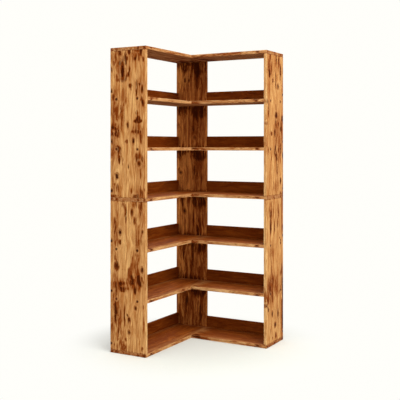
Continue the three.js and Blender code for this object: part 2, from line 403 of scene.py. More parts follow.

# %% [markdown]
# ## Knots of the end panels
#
# The two end panels show the most wood, so their figure follows the real one. Each row is one mark: how
# far out from the wall and how high it sits, half its width and half its height, all in millimetres,
# and how strong it is. Knots are closed and nearly black. Stains are torn patches of dark heartwood,
# and veils are the wide reddish zones around them. Places were picked in an enlarged photo and
# worked out in millimetres with the fitted camera. Sizes and strengths were judged. The upper
# half's rows come first.

# %% Left end panel marks, in millimetres
left_knots = [
    (97, 1843, 11, 40, 0.8), (183, 1388, 7, 16, 1.0), (139, 1490, 5, 16, 0.95), (143, 1222, 3, 9, 0.9),
    (53, 1160, 10, 16, 1.0), (250, 1722, 6, 20, 0.8), (227, 1240, 9, 12, 0.8), (193, 1029, 12, 10, 0.6),
    (11, 1856, 4, 12, 0.9), (11, 1721, 4, 10, 0.9), (12, 1386, 6, 14, 0.95), (12, 1063, 6, 9, 0.9),
    (78, 794, 9, 16, 1.0), (250, 560, 8, 16, 1.0), (200, 310, 7, 9, 0.9), (149, 148, 7, 11, 0.85),
    (150, 232, 7, 10, 0.6), (47, 567, 14, 16, 0.3), (11, 738, 4, 9, 0.9), (135, 258, 4, 6, 0.9),
    (169, 930, 6, 14, 0.6), (253, 806, 5, 9, 0.7),
]
left_stains = [
    (78, 1967, 14, 16, 1.0), (118, 1950, 9, 30, 1.3), (150, 1967, 12, 14, 1.1), (124, 1897, 7, 18, 1.2),
    (134, 1925, 6, 12, 1.0), (28, 1897, 10, 16, 0.9), (74, 1895, 12, 12, 0.9), (97, 1846, 14, 44, 1.1),
    (89, 1787, 36, 12, 0.8), (53, 1816, 7, 20, 0.9), (125, 1807, 7, 16, 0.8), (142, 1822, 8, 16, 1.2),
    (152, 1856, 5, 18, 0.9), (218, 1971, 24, 8, 0.6), (206, 1938, 6, 18, 0.7), (240, 1960, 9, 20, 0.9),
    (259, 1912, 6, 14, 0.9), (225, 1925, 5, 26, 0.8), (178, 1935, 5, 30, 0.6), (194, 1918, 9, 10, 0.7),
    (157, 1748, 16, 11, 1.2), (165, 1727, 8, 10, 0.7), (206, 1738, 8, 46, 1.2), (250, 1722, 8, 22, 1.0),
    (230, 1754, 10, 8, 0.9), (22, 1674, 9, 20, 0.8), (217, 1668, 8, 8, 0.7), (246, 1655, 7, 18, 0.6),
    (257, 1632, 7, 18, 0.9), (82, 1600, 7, 26, 0.8), (112, 1542, 6, 30, 1.1), (92, 1512, 5, 40, 0.8),
    (210, 1572, 9, 14, 0.8), (221, 1516, 27, 10, 1.3), (221, 1532, 15, 16, 1.2), (138, 1499, 9, 8, 0.7),
    (17, 1480, 14, 8, 0.8), (42, 1472, 9, 8, 0.9), (56, 1447, 9, 20, 1.0), (32, 1431, 16, 12, 1.0),
    (64, 1424, 10, 16, 1.0), (213, 1462, 12, 44, 0.8), (200, 1449, 32, 9, 0.8), (241, 1412, 8, 36, 1.1),
    (137, 1386, 18, 11, 0.8), (50, 1340, 26, 16, 1.0), (73, 1298, 11, 42, 1.25), (27, 1312, 9, 14, 0.8),
    (98, 1257, 7, 26, 1.1), (71, 1263, 5, 20, 0.7), (227, 1275, 26, 30, 0.7), (212, 1284, 10, 24, 1.2),
    (254, 1270, 7, 16, 1.0), (239, 1185, 6, 34, 0.85), (56, 1078, 8, 28, 1.1), (34, 1106, 9, 8, 0.8),
    (193, 1026, 16, 14, 1.1), (217, 1034, 14, 12, 0.9), (168, 1058, 4, 20, 0.8), (238, 1070, 5, 26, 0.8),
    (249, 1040, 6, 26, 0.8), (34, 1030, 34, 7, 0.9), (268, 1075, 5, 12, 0.6), (50, 1935, 40, 36, 0.5),
    (100, 1905, 22, 30, 0.4), (36, 1452, 28, 26, 0.7), (103, 972, 12, 26, 1.0), (122, 910, 7, 44, 1.25),
    (169, 929, 10, 22, 1.1), (160, 880, 9, 34, 0.8), (195, 876, 8, 24, 1.1), (241, 945, 8, 50, 1.3),
    (214, 976, 10, 22, 0.9), (39, 868, 8, 20, 1.0), (52, 955, 9, 44, 0.6), (37, 818, 9, 34, 1.15),
    (254, 803, 7, 14, 1.0), (206, 737, 28, 24, 0.7), (247, 754, 8, 34, 0.9), (72, 730, 12, 14, 0.7),
    (84, 708, 6, 30, 0.6), (47, 568, 20, 24, 1.3), (52, 600, 10, 18, 1.0), (37, 625, 9, 16, 0.9),
    (150, 540, 10, 30, 0.9), (190, 600, 12, 44, 0.6), (103, 552, 19, 5, 0.5), (205, 488, 50, 30, 0.95),
    (165, 490, 12, 34, 0.9), (225, 500, 20, 24, 0.8), (247, 476, 12, 30, 1.0), (196, 424, 8, 20, 1.2),
    (42, 474, 9, 55, 0.9), (82, 456, 12, 10, 0.8), (108, 484, 28, 14, 0.5), (105, 413, 26, 8, 0.7),
    (143, 440, 6, 14, 1.0), (22, 368, 7, 24, 0.8), (43, 385, 6, 50, 1.0), (114, 247, 7, 58, 1.0),
    (152, 226, 11, 20, 0.9), (157, 118, 5, 18, 0.6), (33, 308, 10, 18, 1.1), (48, 285, 12, 22, 1.1),
    (52, 245, 22, 44, 0.85), (70, 130, 7, 64, 1.0), (44, 190, 5, 40, 0.8), (81, 266, 5, 24, 0.7),
    (124, 98, 7, 10, 0.7), (115, 48, 10, 16, 0.8), (83, 60, 12, 30, 0.8), (32, 57, 8, 8, 0.8),
    (254, 50, 8, 16, 0.9), (257, 215, 4, 40, 0.8), (262, 322, 6, 12, 0.7), (100, 462, 46, 9, 0.9),
    (110, 430, 48, 8, 0.8),
]
left_veils = [
    (22, 1930, 20, 50, 1.0), (88, 1925, 40, 46, 0.8), (97, 1845, 44, 56, 1.0), (106, 1660, 22, 60, 0.7),
    (101, 1554, 14, 48, 0.7), (45, 1560, 22, 40, 0.9), (37, 1455, 36, 44, 1.1), (215, 1450, 40, 40, 0.7),
    (23, 1349, 16, 60, 1.0), (60, 1300, 34, 50, 0.8), (228, 1250, 34, 60, 0.9), (200, 1950, 42, 50, 0.5),
    (222, 1740, 34, 50, 0.5), (40, 1080, 30, 50, 0.6), (215, 1040, 50, 34, 0.6), (14, 1200, 12, 60, 0.7),
    (35, 1600, 32, 110, 0.6), (52, 960, 14, 60, 0.9), (45, 720, 24, 110, 0.8), (181, 569, 20, 57, 0.6),
    (205, 600, 34, 66, 0.8), (220, 740, 34, 60, 0.6), (230, 860, 26, 70, 0.5), (105, 450, 50, 30, 0.9),
    (256, 208, 10, 50, 0.6), (205, 485, 62, 58, 1.0), (44, 430, 24, 100, 1.0), (55, 250, 32, 90, 0.9),
    (80, 100, 28, 60, 0.9), (20, 120, 16, 80, 0.7), (120, 40, 60, 24, 0.6), (150, 190, 14, 60, 0.5),
    (212, 980, 60, 20, 0.5),
]
print("left:", len(left_knots), "knots,", len(left_stains), "stains,", len(left_veils), "veils")

# %% [markdown]
# The right end panel was cut from cleaner wood. Its marks are long and slim, most of them stand in the
# middle stave, and the stave at the wall side is dark from top to bottom. Its stains looked weak beside
# the left panel's, so one factor strengthens them all, to one decimal place and up to a limit.

# %% Right end panel marks, in millimetres
right_knots = [
    (90, 1766, 12, 14, 0.85), (120, 1566, 13, 14, 0.7), (268, 1657, 8, 12, 0.7), (272, 1508, 5, 8, 0.8),
    (133, 1346, 6, 16, 0.7), (42, 1114, 8, 14, 0.5), (272, 284, 6, 10, 0.95), (249, 253, 7, 10, 0.95),
    (136, 130, 12, 14, 0.95), (89, 199, 7, 13, 0.6), (184, 216, 6, 14, 0.8), (225, 620, 5, 10, 0.3),
]
right_stains = [
    (243, 1893, 12, 38, 1.3), (230, 1845, 12, 22, 1.1), (198, 1886, 8, 36, 0.9), (216, 1962, 8, 30, 0.9),
    (116, 1960, 9, 30, 0.9), (74, 1935, 10, 36, 0.8), (48, 1868, 10, 44, 1.1), (129, 1805, 5, 60, 1.3),
    (177, 1801, 12, 12, 0.9), (4, 1855, 6, 34, 0.9), (244, 1605, 10, 44, 0.9), (121, 1622, 8, 24, 0.6),
    (120, 1567, 22, 18, 1.2), (127, 1513, 8, 34, 1.0), (138, 1443, 13, 24, 1.25), (200, 1442, 13, 13, 1.0),
    (79, 1507, 9, 14, 1.0), (42, 1472, 12, 14, 1.0), (36, 1490, 9, 30, 0.8), (18, 1545, 10, 20, 1.0),
    (131, 1375, 6, 40, 0.9), (131, 1344, 10, 18, 1.2), (135, 1311, 14, 24, 1.1), (110, 1281, 14, 24, 1.1),
    (104, 1245, 9, 36, 1.1), (84, 1326, 10, 16, 0.9), (42, 1344, 10, 24, 1.2), (42, 1317, 7, 16, 0.8),
    (9, 1293, 9, 18, 1.2), (248, 1311, 9, 30, 1.0), (270, 1372, 6, 20, 0.5), (196, 1269, 6, 12, 0.6),
    (103, 1185, 8, 44, 1.1), (42, 1113, 12, 18, 1.1), (112, 1070, 30, 36, 0.45), (163, 1078, 5, 26, 0.9),
    (30, 1028, 20, 12, 1.0), (192, 950, 9, 40, 1.25), (208, 895, 11, 24, 1.2), (80, 895, 9, 44, 1.25),
    (138, 865, 7, 24, 0.7), (236, 905, 7, 34, 0.8), (210, 812, 11, 44, 1.1), (147, 815, 8, 44, 1.1),
    (92, 828, 8, 32, 1.1), (45, 699, 8, 9, 1.2), (62, 719, 6, 8, 0.9), (205, 660, 16, 20, 0.5),
    (190, 625, 12, 24, 0.6), (196, 550, 5, 66, 0.9), (14, 785, 9, 24, 0.9), (18, 495, 14, 30, 1.2),
    (45, 470, 10, 18, 0.8), (231, 455, 9, 26, 0.8), (155, 455, 8, 24, 0.8), (12, 420, 14, 40, 1.0),
    (224, 385, 9, 30, 0.9), (182, 340, 10, 36, 1.0), (145, 385, 8, 20, 0.8), (256, 310, 8, 18, 0.7),
    (72, 345, 8, 14, 0.9), (48, 370, 8, 20, 0.7), (14, 230, 12, 180, 1.0), (184, 212, 8, 20, 1.0),
    (89, 199, 12, 30, 1.0), (215, 105, 12, 26, 0.4), (184, 50, 9, 10, 0.9), (126, 58, 9, 18, 0.9),
]
right_veils = [
    (225, 1890, 36, 60, 0.7), (240, 1740, 16, 60, 0.5), (100, 1930, 40, 50, 0.5), (100, 1540, 50, 60, 0.4),
    (90, 1440, 60, 60, 0.7), (95, 1310, 50, 80, 0.7), (90, 1150, 24, 60, 0.5), (112, 1070, 40, 46, 0.8),
    (20, 1450, 20, 90, 0.5), (16, 1060, 14, 60, 0.7), (20, 900, 14, 120, 0.9), (195, 646, 30, 60, 0.7),
    (190, 430, 56, 50, 1.0), (200, 370, 80, 60, 1.0), (16, 260, 14, 220, 0.9), (100, 190, 40, 60, 0.5),
    (200, 920, 34, 70, 0.5), (85, 880, 26, 70, 0.5), (90, 400, 60, 60, 0.5),
]
print("right:", len(right_knots), "knots,", len(right_stains), "stains,", len(right_veils), "veils")

# %% [markdown]
# A branch runs right through its panel, so a knot's half size in that direction is far larger than
# the panel is thick. The right panel's stains get their factor here.

# %% Knots and strengths
knot_depth = 4.0
right_stain_factor, right_stain_limit = 1.08, 1.4


def panel_knots(rows):
    """Knots that go through a panel: (across, up, through, three half sizes, darkness), in metres."""
    out, height, wide, tall, dark = np.array(rows, float).T
    middle, deep = np.full(len(out), wing_length), np.full(len(out), knot_depth)
    return np.column_stack([out * mm, height * mm, middle, wide * mm, tall * mm, deep, dark])


def strengthened(rows):
    """The rows with each strength times the factor, to one decimal place and at most the limit."""
    return [(*row[:4], min(right_stain_limit, round(row[4] * right_stain_factor, 1))) for row in rows]


print("strongest stain on the right:", max(row[4] for row in strengthened(right_stains)))

# %% [markdown]
# ## The upright panels
#
# The end panels stand between the boards that run through, in a lower and an upper half. They close
# the outer ends of the wings. The corner panel is the backbone in the room's corner: it is a little
# narrower than the wings are deep. A tall veil darkens its front part over the whole height. Its inner
# face is painted darker under each board and towards the floor: painted shade, for the shadow under
# the boards and the dimmer low tiers. It lies on that one face, so that the face at the wall keeps its
# plain wood.

# %% Build the end panels
fine, plain, coarse = 4.5 * mm, 8 * mm, 14 * mm
everywhere = 400
halves = {
    "lower": (board_top["bottom_board"], board_top["middle_board"] - board_thickness),
    "upper": (board_top["middle_board"], board_top["top_board"] - board_thickness),
}
end_marks = {
    "left": (left_knots, left_stains, left_veils),
    "right": (right_knots, strengthened(right_stains), right_veils),
}
for wing, half in itertools.product(end_marks, ("upper", "lower")):
    bottom, top = halves[half]
    knots, stains, veils = ([row for row in rows if bottom < row[1] * mm < top] for rows in end_marks[wing])
    middles = screw_middles(wing, bottom, top)
    screw_rims = [(out / mm, height / mm, 6, 6.5, 0.95) for out, height in middles]
    joints = [(wing_depth / 2 / mm, height / mm, everywhere, 3, 0.8) for height in (bottom, top)]
    wall_edge = [(0, (bottom + top) / 2 / mm, 4, 900, 0.7)]
    add_plank(
        f"{wing}_end_panel_{half}", wing, "panel",
        (0, wing_length - panel_thickness, bottom), (wing_depth, wing_length, top), (fine, fine, fine),
        knots=panel_knots(knots + screw_rims), stains=stains + joints + wall_edge, veils=veils,
        middles=middles,
    )
print("end panels:", len(pieces))

# %% Build the corner panel
corner_knots = [
    (73, 1849, 6, 13, 0.9), (108, 1844, 5, 10, 0.9), (38, 1158, 10, 11, 0.9), (70, 869, 11, 15, 0.9),
    (157, 1417, 10, 10, 0.6), (110, 640, 8, 14, 0.7), (50, 330, 9, 14, 0.7),
]
# The six rows at out 196 to 200 that lie 40 to 50 mm under each board are painted shadow of the boards; the
# other rows are stains.
corner_stains_and_shadows = [
    (78, 1945, 12, 26, 0.8), (66, 1784, 6, 20, 0.8), (60, 1909, 18, 31, 0.6), (196, 1930, 44, 44, 1.2),
    (192, 1857, 24, 31, 0.7), (216, 1805, 6, 52, 0.8), (174, 1779, 18, 52, 0.9), (28, 1615, 9, 26, 0.9),
    (73, 1594, 9, 31, 0.7), (196, 1604, 50, 44, 1.3), (145, 1506, 9, 60, 0.8), (187, 1495, 8, 40, 0.7),
    (71, 1280, 5, 26, 1.0), (44, 1301, 12, 16, 0.7), (20, 1179, 12, 13, 0.8), (152, 1176, 12, 36, 0.8),
    (215, 1119, 7, 42, 0.9), (182, 1129, 8, 40, 0.7), (200, 1284, 44, 36, 1.1), (52, 902, 6, 31, 0.8),
    (196, 950, 46, 50, 1.2), (148, 819, 9, 52, 0.8), (190, 756, 18, 42, 0.9), (10, 835, 8, 100, 0.5),
    (196, 622, 50, 50, 1.3), (60, 560, 9, 40, 0.8), (140, 500, 8, 50, 0.7), (196, 300, 50, 50, 1.2),
    (90, 200, 9, 40, 0.8), (210, 120, 12, 50, 0.8), (200, 820, 26, 140, 0.4), (190, 1440, 24, 100, 0.4),
]
corner_veils = [(191, 1000, 40, 3000, 0.7)]
# Painted shade on the inner face alone: a wide patch over the two lowest tiers, and under each board a band
# that is the painted shadow of that board.
corner_panel_shade = [(130, 300, 300, 290, 0.42)]
for word in board_words[1:]:
    underside = (board_top[word] - board_thickness) / mm
    corner_panel_shade += [
        (corner_width / 2 / mm, underside - 12, everywhere, 46, 0.6),
        (corner_width / 2 / mm, underside, everywhere, 17, 0.95),
    ]
for half, (bottom, top) in halves.items():
    add_plank(
        f"corner_panel_{half}", "left", "panel",
        (0, 0, bottom), (corner_width, panel_thickness, top), (fine, plain, plain),
        knots=panel_knots(corner_knots), stains=corner_stains_and_shadows, veils=corner_veils, painted_shade_rows=corner_panel_shade,
        slot="corner_wood",
    )
print("upright panels:", len(pieces))

# %% [markdown]
# ## The boards
#
# The left wing's boards run into the room's corner and the right wing's boards meet their front edges.
# Top, middle and bottom boards are as long as the wing, the others stop at the end panels. On the
# left, the four inner shelves make way for the corner panel: every line along the board starts at its
# own place, behind the panel's front edge at the panel's face, and in front of it at the wall. Every
# board has two knots in its front edge, a dark one near the outer end and a weak one farther in.

# %% Build the boards
edge_knot_inset = {"left": 62 * mm, "right": 67 * mm}
end_spots = {"left": (10, 49, 217, 268), "right": (14, 46, 150, 262)}
notch_gap = 0.3 * mm
notch_out = corner_width + notch_gap
spot_offsets, knot_offsets, end_offsets = (
    np.arange(*span) * mm for span in ((-8, 9, 4), (-24, 25, 4), (-20, 1, 4))
)


def corner_notch(places):
    """along = start + along times (1 - start / length), where start is the panel's face for places
    behind the panel's front edge, and zero for the rest."""
    places = places.copy()
    length = places[:, ALONG].max()
    start = np.where(places[:, OUT] < notch_out + hair, panel_thickness + notch_gap, 0)
    places[:, ALONG] = start + places[:, ALONG] * (1 - start / length)
    return places


front, tip = wing_depth / mm, wing_length / mm
for level, word in enumerate(board_words):
    top, inner = board_top[word], word.startswith("shelf")
    end = wing_length - (panel_thickness if inner else 0)
    for wing, begin in (("left", 0.0), ("right", wing_depth)):
        right, start = wing == "right", begin / mm
        at = wing_length - edge_knot_inset[wing] - level % 3 * 4 * mm
        middle = top - board_thickness * (0.4 + 0.2 * (level % 2))
        knots = np.array([
            [wing_depth, at, middle, 14 * mm, 9 * mm, 4 * mm, 0.75],
            [wing_depth, begin + 0.31 + 0.021 * level, middle, 9 * mm, 7 * mm, 3.5 * mm, 0.4],
        ])
        stains = [
            (front, at / mm, 16, 20, 0.8),
            (front, start + 18, 30, 36, 0.9 * right),
            (front, start + 60, 40, 80, 0.3 * right * max(0, 2 - level)),
            # The bottom board's end is darkened: painted contact shadow at the floor.
            (front / 2, tip, everywhere, 5, 0.35 * (word == "bottom_board")),
        ] + [(out, tip, 8, 14, 1.1 * (not inner)) for out in end_spots[wing]]
        veils = [
            (front, tip / 2, 20, 900, 0.7 if word == "top_board" else 0.3),
            # This veil is painted shade: the lower the board, the darker its broad middle.
            (120, tip / 2, 100, 900, 0.12 * max(0, 4 - level)),
        ]
        # Painted shade on the top board's underside, near the room's corner.
        underside_corner_shade = [(100, start, 115, 70 if right else 130, 1.4 * (word == "top_board"))]
        notched = inner and not right
        step = [notch_out, notch_out + 2 * hair] if notched else []
        spot_lines = np.add.outer(np.array(end_spots[wing]) * mm, spot_offsets).ravel()
        knot_lines = np.add.outer(knots[:, 1], knot_offsets).ravel()
        out_lines = [*(wing_depth + knot_offsets[knot_offsets <= 0]), *step, *spot_lines]
        add_plank(
            f"{wing}_{word}", wing, "board",
            (0, begin, top - board_thickness), (wing_depth, end, top), (coarse, coarse, 4 * mm),
            knots=knots, stains=stains, veils=veils, painted_shade_rows=underside_corner_shade,
            details=(out_lines, [*knot_lines, *(end + end_offsets)], ()),
            notch=corner_notch if notched else None,
        )
print("with boards:", len(pieces))

# %% [markdown]
# ## The back rails
#
# A low rail stands on the back edge of every board but the top one and keeps things from falling
# behind. On the left it starts at the corner panel's face, on the right at that panel's front edge.

# %% Build the rails
for level, word in enumerate(board_words[:-1]):
    for wing, begin in (("left", panel_thickness), ("right", corner_width)):
        node = f"{wing}_rail_{level}"
        end, top = wing_length - panel_thickness, wing_box(wing, node)[1][HEIGHT]
        add_plank(
            node, wing, "rail",
            (0, begin, board_top[word]), (rail_thickness, end, top), (4 * mm, coarse, plain),
        )
print("with rails:", len(pieces))

# %% [markdown]
# ## The screws
#
# A countersunk screw is a turned part: a profile of radius against depth, carried round its axis. Only
# its head shows, so the cross recess matters most. It is pressed into the turned surface: a point
# of the head's flat sinks where it lies inside one of two slim bars that cross in the middle. Each
# screw is turned farther than the last, because no two of them stop at the same angle.

# %% A screw's surface
screw_sides = 32
head_sink, head_height = 0.4 * mm, 3.5 * mm
shank_radius, tip_radius, tip_length = 2.0 * mm, 0.02 * mm, 6 * mm
recess_depth, recess_reach, recess_half_width = 1.7 * mm, 2.5 * mm, 0.55 * mm
flat_radii = np.array([0.02, 0.35, 0.6, 0.9, 1.3, 1.7, 2.1, 2.4, 2.7, 3.1, 3.7, 4.2]) * mm


def screw_surface():
    """Places (across, depth, up) of one screw and its faces: rings of the profile's radius at its
    depth, with the cross pressed in. Each bar is a ramp across it times a ramp along it."""
    radius = np.concatenate([flat_radii, [screw_radius] * 2, [shank_radius] * 2, [tip_radius]])
    shank_end, tip_end = screw_length - tip_length, screw_length - head_sink
    depth = np.append(np.zeros(len(flat_radii)), [0.15 * mm, 0.5 * mm, head_height, shank_end, tip_end])
    depth += head_sink * (depth < tip_end)
    angle = np.linspace(0, 2 * np.pi, screw_sides, endpoint=False) + np.pi / 4
    across, up = radius[:, None] * np.cos(angle), radius[:, None] * np.sin(angle)
    bars = [
        (1 - ramp(np.abs(b), recess_half_width * 0.6, recess_half_width))
        * (1 - ramp(np.abs(a), recess_reach * 0.8, recess_reach))
        for a, b in ((across, up), (up, across))
    ]
    on_flat = (np.arange(len(radius)) < len(flat_radii))[:, None]
    middle_share = 1 - 0.45 * ramp(np.hypot(across, up), 0, recess_reach)
    deep = depth[:, None] + on_flat * recess_depth * middle_share * np.maximum(*bars)
    rings = np.stack([across, deep, up], axis=-1)
    index = np.arange(rings[..., 0].size).reshape(rings.shape[:2])
    after = np.roll(index, -1, axis=1)
    quads = np.stack([index[:-1], index[1:], after[1:], after[:-1]], axis=-1).reshape(-1, 4)
    return rings.reshape(-1, 3), quads.tolist() + [index[0].tolist(), index[-1][::-1].tolist()]


screw_places, screw_faces = screw_surface()
print("a screw:", len(screw_places), "points,", len(screw_faces), "faces")

# %% Build the screws
turn_step = 0.9
across, depth, up = screw_places.T
screws = {}
for wing, nodes in screw_nodes.items():
    faces = screw_faces if wing == "left" else [face[::-1] for face in screw_faces]
    for node in nodes:
        middle = wing_box(wing, node).mean(axis=0)
        turn = turn_step * len(screws)
        places = np.column_stack([
            middle[OUT] + across * math.cos(turn) - up * math.sin(turn),
            wing_length - depth,
            middle[HEIGHT] + across * math.sin(turn) + up * math.cos(turn),
        ])
        mesh = bpy.data.meshes.new(f"{node}_turned")
        mesh.from_pydata(to_world(wing, places).tolist(), [], faces)
        screws[node] = stand_in(mesh, node)
print("screws:", len(screws))

# %% [markdown]
# ## Small helpers for shader nodes
#
# Shader trees get long when every link takes a line. These helpers add a node and fill its sockets in
# one go: a socket that is given another node's output is linked, and anything else becomes its value.

# %% Add nodes and fill them


def fill(tree, node, sockets):
    """Links or sets the named sockets of a node."""
    for key, value in sockets.items():
        if isinstance(value, bpy.types.NodeSocket):
            tree.links.new(value, node.inputs[key])
        else:
            node.inputs[key].default_value = value
    return node


def add_node(tree, kind, sockets=None, **settings):
    """Adds a node of that kind. Its settings come first, because they decide which sockets it has."""
    node = tree.nodes.new(kind)
    for label, value in settings.items():
        setattr(node, label, value)
    return fill(tree, node, sockets or {})


def cleared_tree(owner):
    """The emptied node tree of a material or a world."""
    owner.use_nodes = True
    owner.node_tree.nodes.clear()
    return owner.node_tree


def new_group(name, inputs, outputs):
    """A shader node group: its tree, what it is given, and the node that its results go to. An input
    comes with its ready-made value, or None for a vector. Of the results only the grain is a vector."""
    tree = bpy.data.node_groups.new(name, "ShaderNodeTree")
    for label, value in inputs.items():
        kind = "Vector" if value is None else "Float"
        socket = tree.interface.new_socket(label, in_out="INPUT", socket_type=f"NodeSocket{kind}")
        if value is not None:
            socket.default_value = value
    for label in outputs:
        kind = "Vector" if label == "Grain" else "Float"
        tree.interface.new_socket(label, in_out="OUTPUT", socket_type=f"NodeSocket{kind}")
    return tree, tree.nodes.new("NodeGroupInput").outputs, tree.nodes.new("NodeGroupOutput")


print("helpers: fill, add_node, cleared_tree, new_group")

# %% Sums, noise and colours


def maths(tree, operation, *values, clamp=False):
    """The result of a Math node on one to three values."""
    sockets = dict(enumerate(values))
    return add_node(tree, "ShaderNodeMath", sockets, operation=operation, use_clamp=clamp).outputs[0]


def times(tree, first, second):
    """The product of two values."""
    return maths(tree, "MULTIPLY", first, second)


def times_plus(tree, first, second, third, clamp=False):
    """The first value times the second, plus the third."""
    return maths(tree, "MULTIPLY_ADD", first, second, third, clamp=clamp)


def vector_maths(tree, operation, *values, result="Vector"):
    """The result of a Vector Math node on one or two vectors."""
    sockets = dict(enumerate(values))
    return add_node(tree, "ShaderNodeVectorMath", sockets, operation=operation).outputs[result]


def split(tree, vector):
    """The X, Y and Z of a vector."""
    return add_node(tree, "ShaderNodeSeparateXYZ", {0: vector}).outputs


def noise(tree, vector, stretch, detail=2.0, rough=0.5, twist=0.0):
    """Noise on a vector whose axes are first multiplied by stretch, in waves per metre."""
    scaled = vector_maths(tree, "MULTIPLY", vector, stretch)
    sockets = {"Vector": scaled, "Scale": 1.0, "Detail": detail, "Roughness": rough, "Distortion": twist}
    return add_node(tree, "ShaderNodeTexNoise", sockets, noise_dimensions="3D").outputs["Fac"]


def remap(tree, value, low, high, to_low=0.0, to_high=1.0, smooth=False):
    """Maps low..high onto to_low..to_high and holds it there."""
    curve = "SMOOTHSTEP" if smooth else "LINEAR"
    sockets = {"Value": value, "From Min": low, "From Max": high, "To Min": to_low, "To Max": to_high}
    node = add_node(tree, "ShaderNodeMapRange", sockets, interpolation_type=curve, clamp=True)
    return node.outputs["Result"]


def mixed(tree, share, first, second):
    """A colour mixed from two. A Mix node has its share in socket 0 and its colours in 6 and 7."""
    return add_node(tree, "ShaderNodeMix", {0: share, 6: first, 7: second}, data_type="RGBA").outputs[2]


print("helpers: maths, times, times_plus, vector_maths, split, noise, remap, mixed")

# %% [markdown]
# ## Staves
#
# A panel this wide is glued up from narrower staves. Each stave came from another place in the trunk,
# so its tone and figure jump at the glue line. The number of the stave is the whole part of the place
# across over the stave's width. White noise turns it into a tone and into a jump of the grain.

# %% The stave group
piece_spread = 7.31
grain_jump = (0.4, 3.0, 0.2)
glue_line = (0.2 * mm, 0.7 * mm)
tree, given, ending = new_group(
    "Glued staves", {"Grain": None, "Lay": None, "Width": 0.09, "Start": 0.0},
    ("Grain", "Tone", "Glue Line"),
)
lay = split(tree, given["Lay"])
in_staves = maths(tree, "DIVIDE", maths(tree, "SUBTRACT", lay["X"], given["Start"]), given["Width"])
stave_number = times_plus(tree, lay["Y"], piece_spread, maths(tree, "FLOOR", in_staves))
chance = add_node(tree, "ShaderNodeTexWhiteNoise", {"W": stave_number}, noise_dimensions="1D").outputs
jump = vector_maths(tree, "MULTIPLY", chance["Color"], grain_jump)
to_line = times(tree, maths(tree, "PINGPONG", in_staves, 0.5), given["Width"])
fill(tree, ending, {
    "Grain": vector_maths(tree, "ADD", given["Grain"], jump),
    "Tone": chance["Value"],
    "Glue Line": remap(tree, to_line, *glue_line, 1.0, 0.0),
})
stave_group = tree
print("group:", stave_group.name)

# %% [markdown]
# ## Figure
#
# Growth rings cut lengthwise look like contour lines on a map. So the rings are drawn as contours: a
# slow noise, stretched along the grain, is multiplied by the number of rings, and a sine of it gives
# early and late wood. Around that come light and dark streaks, torn flames of heartwood, blotches,
# dark lines, fine fibres and short dark pores. Each is a noise with its own row: waves per metre
# across the grain and along it, detail, roughness, twist, and the values at which it starts and is full.

# %% The figure group
figure_rows = {
    "Streaks": (46.0, 4.2, 3.0, 0.55, 0.7, 0.36, 0.64),
    "Flames": (76.0, 15.0, 2.0, 0.6, 1.0, 0.3, 0.7),
    "Blotches": (19.0, 4.6, 2.0, 0.5, 1.4, 0.5, 0.74),
    "Lines": (135.0, 8.0, 2.0, 0.5, 0.4, 0.46, 0.7),
    "Fibres": (420.0, 7.0, 2.0, 0.6, 0.0, 0.3, 0.7),
    "Pores": (900.0, 42.0, 1.0, 0.4, 0.0, 0.66, 0.76),
}
drift_reach, ripple_share, late_power = 0.05, 0.05, 1.8
tree, given, ending = new_group(
    "Wood figure", {"Grain": None, "Rings": 16.0}, ("Rings", *figure_rows),
)
drift = maths(tree, "SUBTRACT", noise(tree, given["Grain"], (9.0, 5.0, 9.0)), 0.5)
aside = add_node(tree, "ShaderNodeCombineXYZ", {"X": times(tree, drift, drift_reach)}).outputs[0]
grain = vector_maths(tree, "ADD", given["Grain"], aside)
slow = noise(tree, grain, (7.5, 0.75, 9.0), 1.5, 0.45, 0.6)
contour = times_plus(tree, noise(tree, grain, (70.0, 5.0, 70.0)), ripple_share, slow)
turns = times(tree, times(tree, contour, given["Rings"]), 2 * math.pi)
late_wood = times_plus(tree, maths(tree, "SINE", turns), 0.5, 0.5)
figure = {"Rings": maths(tree, "POWER", late_wood, late_power)}
for label, (across, along, detail, rough, twist, start, full) in figure_rows.items():
    waves = noise(tree, grain, (across, along, across), detail, rough, twist)
    figure[label] = remap(tree, waves, start, full, smooth=label == "Blotches")
fill(tree, ending, figure)
figure_group = tree
print("group:", figure_group.name)

# %% [markdown]
# ## Knots
#
# The mesh gives the offset from the knot's middle in half sizes, so a length of 1 is the knot's rim.
# Noise makes that rim uneven. Inside are the rings of the branch and its black heart. Around it lies a
# dark rim, and then a pale halo where the fibres turned aside.

# %% The knot group
tree, given, ending = new_group(
    "Knots", {"Knot": None, "Grain": None, "Darkness": 0.5}, ("Heart", "Rim", "Halo", "Branch Rings"),
)
unevenness, branch_turns = 1.5, 17.0
length = vector_maths(tree, "LENGTH", given["Knot"], result="Value")
uneven = maths(tree, "SUBTRACT", noise(tree, given["Grain"], (95.0, 60.0, 95.0), 2.0, 0.6), 0.5)
reach = times_plus(tree, uneven, unevenness, length)
body = remap(tree, reach, 0.75, 1.2, 1.0, 0.0, smooth=True)
rim = maths(tree, "SUBTRACT", remap(tree, reach, 1.0, 2.3, 1.0, 0.0, smooth=True), body, clamp=True)
halo = times(tree, remap(tree, reach, 1.3, 1.8), remap(tree, reach, 1.9, 3.0, 1.0, 0.0))
branch = times_plus(tree, maths(tree, "SINE", times(tree, reach, branch_turns)), 0.5, 0.5)
fill(tree, ending, {
    "Heart": times(tree, body, given["Darkness"]),
    "Rim": times(tree, rim, given["Darkness"]),
    "Halo": times(tree, halo, given["Darkness"]),
    "Branch Rings": times(tree, branch, body),
})
knot_group = tree
print("group:", knot_group.name)

# %% [markdown]
# ## Worn edges
#
# Hands and cloths rub the oil from the edges, so they turn paler there, but not evenly. The mesh
# stores each point's distance to the nearest edge. Noise varies how wide the pale line is, which
# breaks it up.

